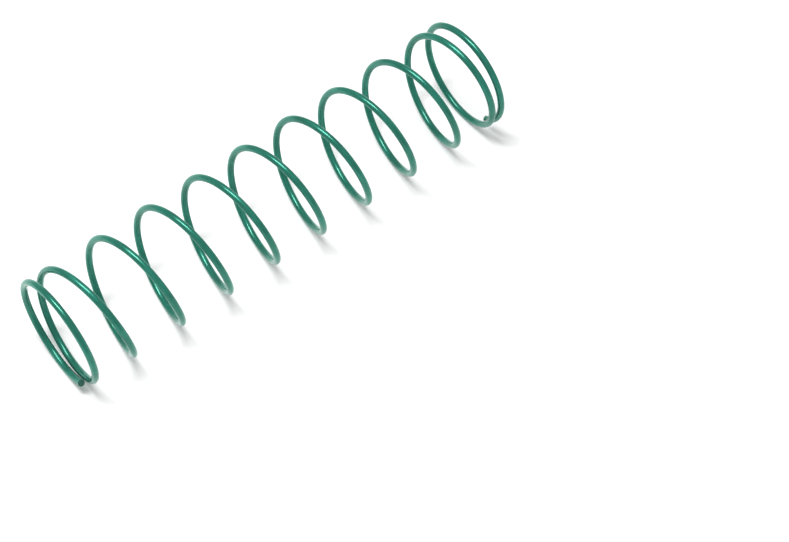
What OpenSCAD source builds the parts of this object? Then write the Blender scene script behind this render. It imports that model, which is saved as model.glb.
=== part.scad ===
// Helical compression spring of round wire, wound right-handed, for a small oil-filled damper.
// Both ends are closed (the last coil lies almost flat) and left unground, with the wire cut square.
// The spring lies on its side: the coil axis runs along +X, and z = 0 is the surface it lies on.
// The origin is on that surface, below the middle of the free length.
//
// The wire is one elastic length.  Pressing the spring twists it a little everywhere, so it is
// divided into short lengths that twist against each other: the lower end coil, which keeps its
// shape, a row of quarter turns, and the upper end coil.  Each division is a flat disc square to
// the wire, so two neighbours turn against each other about the wire's own direction.

/* [Wire] */
// Diameter of the painted wire
wire_d = 1.3; // [1.0:0.05:1.35]

/* [Coils] */
// Mean radius of the coils, from the axis to the middle of the wire
coil_r = 10.2; // [9:0.1:12]
// Climb per turn of the open coils
open_pitch = 10.38; // [8:0.02:12]
// Climb per turn of the closed end coils
closed_pitch = 1.4; // [1.4:0.05:1.8]
// Quarter turns of wire between the two end coils
quarters = 36; // [28:1:44]

/* [End coils] */
// Turns in the lower end coil
lower_turns = 1.02; // [1.0:0.01:1.2]
// Turns in the upper end coil
upper_turns = 0.985; // [0.9:0.005:1.2]
// Turns from the lower tip at which the climb starts to grow
lower_closed = 0.88; // [0.8:0.01:1.0]
// Turns from the lower tip at which the climb is full
lower_open = 1.44; // [1.3:0.01:1.8]
// Turns from the upper tip at which the climb starts to grow
upper_closed = 0.53; // [0.4:0.01:0.7]
// Turns from the upper tip at which the climb is full
upper_open = 2.04; // [1.6:0.01:2.2]
// Angle of the lower tip about the axis, from +Y towards +Z
tip_angle = -128.2; // [-180:0.1:180]

/* [Hidden] */
turns = lower_turns + quarters/4 + upper_turns;
axis_z = coil_r + wire_d/2;
paint = [0.12, 0.55, 0.43];
wire_sides = 40;
arc_steps = 200;
lower_parts = 4;    // lengths of about a quarter turn in the lower end coil
upper_parts = 4;    // and in the upper one

function quarter_name(i) = str("quarter_turn_", i < 10 ? "0" : "", i);

function unit(v) = v/norm(v);

// Smooth rise from 0 at turn a to 1 at turn b, and the area under it up to turn t
function share(a, b, t) = min(1, max(0, (t - a)/(b - a)));
function rise(a, b, t) = let (u = share(a, b, t)) u*u*(3 - 2*u);
function rise_area(a, b, t) = let (u = share(a, b, t)) (b - a)*(pow(u, 3) - pow(u, 4)/2) + max(0, t - b);

// Climb per turn at turn t, and the distance climbed from the lower tip up to it
function climb(t) = closed_pitch
    + (open_pitch - closed_pitch)*rise(lower_closed, lower_open, t)*rise(upper_closed, upper_open, turns - t);
function climbed(t) = closed_pitch*t
    + (open_pitch - closed_pitch)*(rise_area(lower_closed, lower_open, t) - t
        + rise_area(upper_closed, upper_open, turns) - rise_area(upper_closed, upper_open, turns - t));

// Middle of the wire at turn t, and the wire's direction there
function around(t) = tip_angle + 360*t;
function wire_at(t) = [climbed(t) - climbed(turns)/2, coil_r*cos(around(t)), axis_z + coil_r*sin(around(t))];
function along(t) = unit([climb(t), -2*PI*coil_r*sin(around(t)), 2*PI*coil_r*cos(around(t))]);

// How far two tangent arcs reach along their end directions so that they meet smoothly
function arc_reach(span, from, to) =
    let (c = span*(from + to), q = 2*(1 - from*to)) (sqrt(c*c + q*(span*span)) - c)/q;

// Radius and bend of the arc that leaves the origin along +X and ends at q, and its side about +X
function arc_radius(q) = (q*q)/(2*norm([q.y, q.z]));
function arc_bend(q) = 2*atan2(norm([q.y, q.z]), q.x);
function arc_side(q) = atan2(q.z, q.y);

// Round wire on that arc.  The wire's section starts at an angle of its own on each arc, so that the
// lines where the two round surfaces close on themselves do not meet.
module wire_arc(q, section_start) {
    rotate([arc_side(q), 0, 0]) translate([0, arc_radius(q), 0]) rotate([0, 0, -90])
    rotate_extrude(angle = arc_bend(q), $fn = arc_steps)
    translate([arc_radius(q), 0]) rotate(section_start) circle(d = wire_d, $fn = wire_sides);
}

// Wire from turn a to turn b, about a quarter turn, as two arcs that share their direction where
// they meet.  Both are drawn from that meeting point, with the wire's direction there as X.
module wire_length(a, b) {
    reach = arc_reach(wire_at(b) - wire_at(a), along(a), along(b));
    near = wire_at(a) + reach*along(a);
    far = wire_at(b) - reach*along(b);
    middle = (near + far)/2;
    x = unit(far - near);
    z = unit(cross(x, [0, middle.y, middle.z - axis_z]));
    y = cross(z, x);
    back = [x, y, z]*(wire_at(a) - middle);
    ahead = [x, y, z]*(wire_at(b) - middle);
    multmatrix([
        [x.x, y.x, z.x, middle.x],
        [x.y, y.y, z.y, middle.y],
        [x.z, y.z, z.z, middle.z]]) {
        wire_arc(ahead, 0);
        mirror([1, 0, 0]) wire_arc([-back.x, back.y, back.z], 90);
    }
}

// The i-th of some equal lengths between turns a and b
module wire_part(a, b, parts, i) {
    step = (b - a)/parts;
    color(paint) wire_length(a + (i - 1)*step, a + i*step);
}
module lower_end_coil(i) { wire_part(0, lower_turns, lower_parts, i); }
module quarter_turn(i) { wire_part(lower_turns, turns - upper_turns, quarters, i); }
module upper_end_coil(i) { wire_part(turns - upper_turns, turns, upper_parts, i); }

for (i = [1:lower_parts]) lower_end_coil(i);
for (i = [1:quarters]) quarter_turn(i);
for (i = [1:upper_parts]) upper_end_coil(i);
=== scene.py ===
"""Painted coil spring lying on a white table, one mesh piece for each length of its wire."""
import math

import bpy
import numpy as np
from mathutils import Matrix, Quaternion, Vector


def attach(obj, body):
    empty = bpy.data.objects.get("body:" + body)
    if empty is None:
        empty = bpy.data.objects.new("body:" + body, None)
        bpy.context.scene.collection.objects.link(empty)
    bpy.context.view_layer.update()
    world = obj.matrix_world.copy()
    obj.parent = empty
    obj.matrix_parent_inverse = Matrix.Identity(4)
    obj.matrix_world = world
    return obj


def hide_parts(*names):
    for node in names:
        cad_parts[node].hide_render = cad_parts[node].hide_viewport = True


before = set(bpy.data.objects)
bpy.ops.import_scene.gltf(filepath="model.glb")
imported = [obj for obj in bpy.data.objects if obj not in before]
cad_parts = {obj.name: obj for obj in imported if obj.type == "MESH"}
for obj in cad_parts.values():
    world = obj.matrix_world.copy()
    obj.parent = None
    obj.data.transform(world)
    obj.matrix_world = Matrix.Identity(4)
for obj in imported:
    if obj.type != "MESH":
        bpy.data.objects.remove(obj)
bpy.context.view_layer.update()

MM = 0.001

# The wire's shape, with the same sizes as the CAD model, in millimetres and in turns
WIRE_R = 0.65
COIL_R = 10.2
AXIS_Z = COIL_R + WIRE_R
OPEN_PITCH, CLOSED_PITCH = 10.38, 1.4
LOWER_TURNS, QUARTERS, UPPER_TURNS = 1.02, 36, 0.985
LOWER_CLOSED, LOWER_OPEN = 0.88, 1.44
UPPER_CLOSED, UPPER_OPEN = 0.53, 2.04
TIP_ANGLE = math.radians(-128.2)
LOWER_PARTS, UPPER_PARTS = 4, 4
TURNS = LOWER_TURNS + QUARTERS / 4 + UPPER_TURNS

# The mesh of the wire, in millimetres
SIDES = 40          # round the wire
RING_MM = 0.28      # between rings along the wire
PLUG_R = 0.97       # a piece's end reaches into its neighbour at this share of the wire's radius
PLUG_MM = 0.06
TIP_ROUND = 0.07    # rounded edge of the sheared tips
TIP_STEPS = 5       # rings in that rounded edge
LENGTH_STEPS = 6001     # places at which the wire's length is worked out

# Paint: its colour, and the size of its marks along the wire and across it, per millimetre
PAINT_DARK = (0.014, 0.140, 0.096)
PAINT_MIDDLE = (0.018, 0.178, 0.124)
PAINT_PALE = (0.026, 0.230, 0.166)
LINE_COLOUR = (0.010, 0.115, 0.080)
SPECK_COLOUR = (0.020, 0.260, 0.190)
EDGE_TINT = (0.35, 0.80, 0.68, 1)
CLOUDS = (0.35, 0.8, 0.8)
DRAWING_LINES = (0.10, 9.0, 9.0)
SPECKS = (7.0, 7.0, 7.0)
ORANGE_PEEL = (3.2, 4.0, 4.0)
PEEL_DEPTH, LINE_DEPTH = 0.00004, 0.00002       # in metres

# Sheared tips
SHEAR_DARK = (0.006, 0.060, 0.040)
SHEAR_MIDDLE = (0.020, 0.120, 0.085)
SHEAR_PALE = (0.10, 0.16, 0.14)
SHEAR_STREAKS = (4.0, 14.0, 2.5)
STREAK_DEPTH = 0.00004                          # in metres

# Table, light and camera, in metres and degrees; the lens and film width are in millimetres and the
# light's power in watts
TABLE_HALF = 3.0
TABLE_COLOUR = (0.92, 0.92, 0.92, 1)
AMBIENT = 0.66
LIGHT_AWAY = (-0.14, 0.17, 1)
LIGHT_DISTANCE, LIGHT_WIDTH, LIGHT_LENGTH, LIGHT_POWER = 0.55, 0.15, 0.34, 2.7
CAMERA_AIM = (0.01219, -0.02074, 0)
CAMERA_AZIMUTH, CAMERA_ELEVATION, CAMERA_ROLL = -38.28, 56.15, -0.54
CAMERA_DISTANCE, CAMERA_LENS, FILM_WIDTH = 0.4087, 102.8, 36


# The wire's path

def rise(a, b, t):
    """Smooth rise from 0 at turn a to 1 at turn b."""
    u = np.clip((t - a) / (b - a), 0, 1)
    return u * u * (3 - 2 * u)


def rise_area(a, b, t):
    """The area under that rise up to turn t."""
    u = np.clip((t - a) / (b - a), 0, 1)
    return (b - a) * (u**3 - u**4 / 2) + np.maximum(0, t - b)


def climb(t):
    """Climb per turn at turn t."""
    opened = rise(LOWER_CLOSED, LOWER_OPEN, t) * rise(UPPER_CLOSED, UPPER_OPEN, TURNS - t)
    return CLOSED_PITCH + (OPEN_PITCH - CLOSED_PITCH) * opened


def climbed(t):
    """Distance climbed from the lower tip up to turn t."""
    near = rise_area(LOWER_CLOSED, LOWER_OPEN, t)
    far = rise_area(UPPER_CLOSED, UPPER_OPEN, TURNS) - rise_area(UPPER_CLOSED, UPPER_OPEN, TURNS - t)
    return CLOSED_PITCH * t + (OPEN_PITCH - CLOSED_PITCH) * (near - t + far)


LENGTH_TURNS = np.linspace(0, TURNS, LENGTH_STEPS)
MIDDLE_TURNS = (LENGTH_TURNS[1:] + LENGTH_TURNS[:-1]) / 2
STEP_LENGTHS = np.hypot(climb(MIDDLE_TURNS), 2 * math.pi * COIL_R) * np.diff(LENGTH_TURNS)
LENGTHS = np.concatenate([[0], np.cumsum(STEP_LENGTHS)])


def wire_length(t):
    """Length of wire from the lower tip up to turn t."""
    return np.interp(t, LENGTH_TURNS, LENGTHS)


def wire_frame(t):
    """Centre, direction, outward side and third side of the wire at turn t, in millimetres."""
    a = TIP_ANGLE + 2 * math.pi * t
    middle = np.array([climbed(t) - climbed(TURNS) / 2, 0, AXIS_Z])
    out = np.array([0, math.cos(a), math.sin(a)])
    centre = middle + COIL_R * out
    along = np.array([climb(t), -2 * math.pi * COIL_R * math.sin(a), 2 * math.pi * COIL_R * math.cos(a)])
    along /= np.linalg.norm(along)
    out -= (out @ along) * along
    out /= np.linalg.norm(out)
    return centre, along, out, np.cross(along, out)


# The wire's mesh.  A ring is (turn, shift along the wire, share of the radius, lean of its normals
# along the wire).

def plug(t, sign):
    """The ring that reaches into the next piece."""
    return [(t, sign * PLUG_MM, PLUG_R, 0.0)]


def sheared_edge(t, sign):
    """The rings of a tip's rounded edge, from its face outwards."""
    rings = []
    for q in math.pi / 2 * (1 - np.arange(TIP_STEPS) / (TIP_STEPS - 1)):
        back = TIP_ROUND * (1 - math.sin(q))
        share = 1 - TIP_ROUND / WIRE_R * (1 - math.cos(q))
        rings.append((t, -sign * back, share, sign * math.sin(q)))
    return rings


def ring_plan(a, b, tip_a, tip_b):
    """The rings of a piece from turn a to turn b."""
    gaps = round((wire_length(b) - wire_length(a)) / RING_MM)
    between = [(t, 0.0, 1.0, 0.0) for t in np.linspace(a, b, gaps + 1)]
    start = sheared_edge(a, -1) if tip_a else plug(a, -1)
    end = sheared_edge(b, 1) if tip_b else plug(b, 1)
    return start + between[int(tip_a):len(between) - int(tip_b)] + end[::-1]


def tube(rings):
    """A closed tube through the rings: its points, normals, places on the straightened wire, and faces.
    The faces that close the first ring and the last one come after the others, SIDES for each."""
    points, normals, places, faces = [], [], [], []
    for t, shift, share, lean in rings:
        centre, along, out, side = wire_frame(t)
        far = wire_length(t) + shift
        for q in np.arange(SIDES) * 2 * math.pi / SIDES:
            radial = math.cos(q) * out + math.sin(q) * side
            points.append((centre + along * shift + radial * WIRE_R * share) * MM)
            normals.append(radial * math.sqrt(1 - lean * lean) + along * lean)
            places.append((far, math.cos(q) * WIRE_R * share, math.sin(q) * WIRE_R * share))
    for i in range(len(rings) - 1):
        for j in range(SIDES):
            k = (j + 1) % SIDES
            faces.append((i * SIDES + j, i * SIDES + k, (i + 1) * SIDES + k, (i + 1) * SIDES + j))
    for i, sign in ((0, -1), (len(rings) - 1, 1)):
        t, shift = rings[i][:2]
        centre, along = wire_frame(t)[:2]
        hub = len(points)
        points.append((centre + along * shift) * MM)
        normals.append(along * sign)
        places.append((wire_length(t) + shift, 0, 0))
        for j in range(SIDES):
            rim = (i * SIDES + j, i * SIDES + (j + 1) % SIDES)
            faces.append((hub, *rim[::sign]))
    return points, normals, places, faces


def wire_piece(name, a, b, tip_a, tip_b):
    """A closed length of wire.  Its normals are those of the whole wire, so that it meets its neighbours
    without a mark."""
    points, normals, places, faces = tube(ring_plan(a, b, tip_a, tip_b))
    mesh = bpy.data.meshes.new(name)
    mesh.from_pydata([tuple(p) for p in points], [], faces)
    first_cap = len(faces) - 2 * SIDES
    last_cap = len(faces) - SIDES
    cut = set()
    if tip_a:
        cut |= set(range(SIDES)) | set(range(first_cap, last_cap))
    if tip_b:
        cut |= set(range(first_cap - SIDES, first_cap)) | set(range(last_cap, len(faces)))
    mesh.materials.append(PAINT)
    mesh.materials.append(CUT_STEEL)
    for f in mesh.polygons:
        f.use_smooth = True
        f.material_index = int(f.index in cut)
    mesh.update()
    mesh.normals_split_custom_set_from_vertices([tuple(n) for n in normals])
    place = mesh.attributes.new("wire_place", "FLOAT_VECTOR", "POINT")
    place.data.foreach_set("vector", np.array(places, np.float32).ravel())
    return link(name, mesh)


def link(name, data):
    """An object in the scene, made from its data."""
    obj = bpy.data.objects.new(name, data)
    bpy.context.scene.collection.objects.link(obj)
    return obj


# Materials

class Shader:
    """Short-hand for making and joining material nodes."""

    def __init__(self, name):
        self.material = bpy.data.materials.new(name)
        self.material.use_nodes = True
        self.tree = self.material.node_tree
        self.bsdf = self.tree.nodes["Principled BSDF"]

    def node(self, kind, **values):
        n = self.tree.nodes.new(kind)
        for key, value in values.items():
            setattr(n, key, value)
        return n

    def join(self, a, b):
        self.tree.links.new(a, b)

    def set(self, **values):
        """Uniform values of the surface, with spaces in their names as underscores."""
        for key, value in values.items():
            self.bsdf.inputs[key.replace("_", " ")].default_value = value

    def noise(self, scale, detail):
        """Noise on the straightened wire: the scale is along the wire, and across it both ways."""
        at = self.node("ShaderNodeAttribute", attribute_name="wire_place")
        fit = self.node("ShaderNodeVectorMath", operation="MULTIPLY")
        fit.inputs[1].default_value = scale
        self.join(at.outputs["Vector"], fit.inputs[0])
        n = self.node("ShaderNodeTexNoise")
        n.inputs["Scale"].default_value = 1.0
        n.inputs["Detail"].default_value = detail
        self.join(fit.outputs["Vector"], n.inputs["Vector"])
        return n.outputs["Fac"]

    def ramp(self, value, *stops):
        """Colour by value.  Each stop is a value and its colour."""
        n = self.node("ShaderNodeValToRGB")
        e = n.color_ramp.elements
        while len(e) < len(stops):
            e.new(0.5)
        for item, (at, colour) in zip(e, stops):
            item.position = at
            item.color = (*colour, 1)
        self.join(value, n.inputs["Fac"])
        return n.outputs["Color"]

    def span(self, value, lo, hi, to_lo, to_hi):
        """The value from lo to hi stretched to run from to_lo to to_hi."""
        n = self.node("ShaderNodeMapRange")
        for key, v in (("From Min", lo), ("From Max", hi), ("To Min", to_lo), ("To Max", to_hi)):
            n.inputs[key].default_value = v
        self.join(value, n.inputs["Value"])
        return n.outputs["Result"]

    def toward(self, share, base, colour):
        """The base moved towards a colour by a share."""
        n = self.node("ShaderNodeMix", data_type="RGBA")
        self.join(share, n.inputs[0])
        self.join(base, n.inputs[6])
        n.inputs[7].default_value = (*colour, 1)
        return n.outputs[2]

    def bump(self, height, strength, depth, under=None):
        """Bumps, on top of others if they are given."""
        n = self.node("ShaderNodeBump")
        n.inputs["Strength"].default_value = strength
        n.inputs["Distance"].default_value = depth
        self.join(height, n.inputs["Height"])
        if under:
            self.join(under, n.inputs["Normal"])
        return n.outputs["Normal"]


def painted_wire():
    """Glossy blue-green paint on drawn wire: faint clouds, orange peel, drawing lines and specks."""
    s = Shader("blue_green_paint")
    cloud = s.noise(CLOUDS, 4.0)
    lines = s.noise(DRAWING_LINES, 2.0)
    speck = s.noise(SPECKS, 1.0)
    peel = s.noise(ORANGE_PEEL, 2.0)
    base = s.ramp(cloud, (0.28, PAINT_DARK), (0.5, PAINT_MIDDLE), (0.75, PAINT_PALE))
    base = s.toward(s.span(lines, 0.35, 0.7, 0.0, 0.35), base, LINE_COLOUR)
    base = s.toward(s.span(speck, 0.70, 0.78, 0.0, 0.5), base, SPECK_COLOUR)
    s.join(base, s.bsdf.inputs["Base Color"])
    s.join(s.span(cloud, 0.3, 0.7, 0.22, 0.32), s.bsdf.inputs["Roughness"])
    s.set(Metallic=0.5, IOR=1.35, Specular_IOR_Level=0.3, Specular_Tint=EDGE_TINT)
    s.set(Coat_IOR=1.35, Coat_Weight=0.7, Coat_Roughness=0.13)
    bumps = s.bump(lines, 0.15, LINE_DEPTH, under=s.bump(peel, 0.20, PEEL_DEPTH))
    s.join(bumps, s.bsdf.inputs["Normal"])
    return s.material


def cut_steel():
    """The sheared tip, thinly painted: dark, with the streaks of the shear."""
    s = Shader("sheared_tip")
    streak = s.noise(SHEAR_STREAKS, 3.0)
    base = s.ramp(streak, (0.3, SHEAR_DARK), (0.6, SHEAR_MIDDLE), (0.8, SHEAR_PALE))
    s.join(base, s.bsdf.inputs["Base Color"])
    s.join(s.span(streak, 0.3, 0.8, 0.35, 0.6), s.bsdf.inputs["Roughness"])
    s.set(Metallic=0.2)
    s.join(s.bump(streak, 0.6, STREAK_DEPTH), s.bsdf.inputs["Normal"])
    return s.material


def white_table():
    s = Shader("white_table")
    s.set(Base_Color=TABLE_COLOUR, Roughness=0.7, Specular_IOR_Level=0.15)
    return s.material


PAINT = painted_wire()
CUT_STEEL = cut_steel()


# The spring

def add(node, body, a, b, tip_a=False, tip_b=False):
    """The wire from turn a to turn b.  It replaces a node of the CAD model and rides on a body."""
    piece = wire_piece("wire_" + node, a, b, tip_a, tip_b)
    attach(piece, body)
    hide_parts(node)


def lower_end_coil():
    step = LOWER_TURNS / LOWER_PARTS
    for i in range(LOWER_PARTS):
        add(f"lower_end_coil_{i + 1}", "lower_end_coil", i * step, (i + 1) * step, tip_a=i == 0)


def quarter_turns():
    for i in range(QUARTERS):
        name = f"quarter_turn_{i + 1:02d}"
        add(name, name, LOWER_TURNS + i / 4, LOWER_TURNS + (i + 1) / 4)


def upper_end_coil():
    step = UPPER_TURNS / UPPER_PARTS
    for i in range(UPPER_PARTS):
        a = TURNS - UPPER_TURNS + i * step
        add(f"upper_end_coil_{i + 1}", "upper_end_coil", a, a + step, tip_b=i == UPPER_PARTS - 1)


# Table, light and camera

def table():
    w = TABLE_HALF
    mesh = bpy.data.meshes.new("table")
    mesh.from_pydata([(-w, -w, 0), (w, -w, 0), (w, w, 0), (-w, w, 0)], [], [(0, 1, 2, 3)])
    mesh.materials.append(white_table())
    link("table", mesh)


def soft_room():
    """White light from all sides."""
    world = bpy.data.worlds.new("studio")
    bpy.context.scene.world = world
    world.use_nodes = True
    background = world.node_tree.nodes["Background"]
    background.inputs["Color"].default_value = (1, 1, 1, 1)
    background.inputs["Strength"].default_value = AMBIENT


def overhead_light():
    """A long soft light over the spring, across its axis."""
    light = bpy.data.lights.new("overhead", "AREA")
    light.shape = "RECTANGLE"
    light.size, light.size_y = LIGHT_WIDTH, LIGHT_LENGTH
    light.energy = LIGHT_POWER
    away = Vector(LIGHT_AWAY).normalized()
    obj = link("overhead", light)
    obj.location = away * LIGHT_DISTANCE
    obj.rotation_mode = "QUATERNION"
    obj.rotation_quaternion = away.to_track_quat("Z", "Y")


def camera():
    """Azimuth 0 looks along +Y and 90 along -X.  The roll turns the camera about its line of sight."""
    cam = bpy.data.cameras.new("camera")
    cam.lens, cam.sensor_width = CAMERA_LENS, FILM_WIDTH
    a, e = math.radians(CAMERA_AZIMUTH), math.radians(CAMERA_ELEVATION)
    back = Vector((math.sin(a) * math.cos(e), -math.cos(a) * math.cos(e), math.sin(e)))
    obj = link("camera", cam)
    obj.location = Vector(CAMERA_AIM) + back * CAMERA_DISTANCE
    obj.rotation_mode = "QUATERNION"
    roll = Quaternion((0, 0, 1), math.radians(CAMERA_ROLL))
    obj.rotation_quaternion = back.to_track_quat("Z", "Y") @ roll
    bpy.context.scene.camera = obj


lower_end_coil()
quarter_turns()
upper_end_coil()
table()
soft_room()
overhead_light()
camera()
bpy.context.scene.view_settings.view_transform = "Standard"
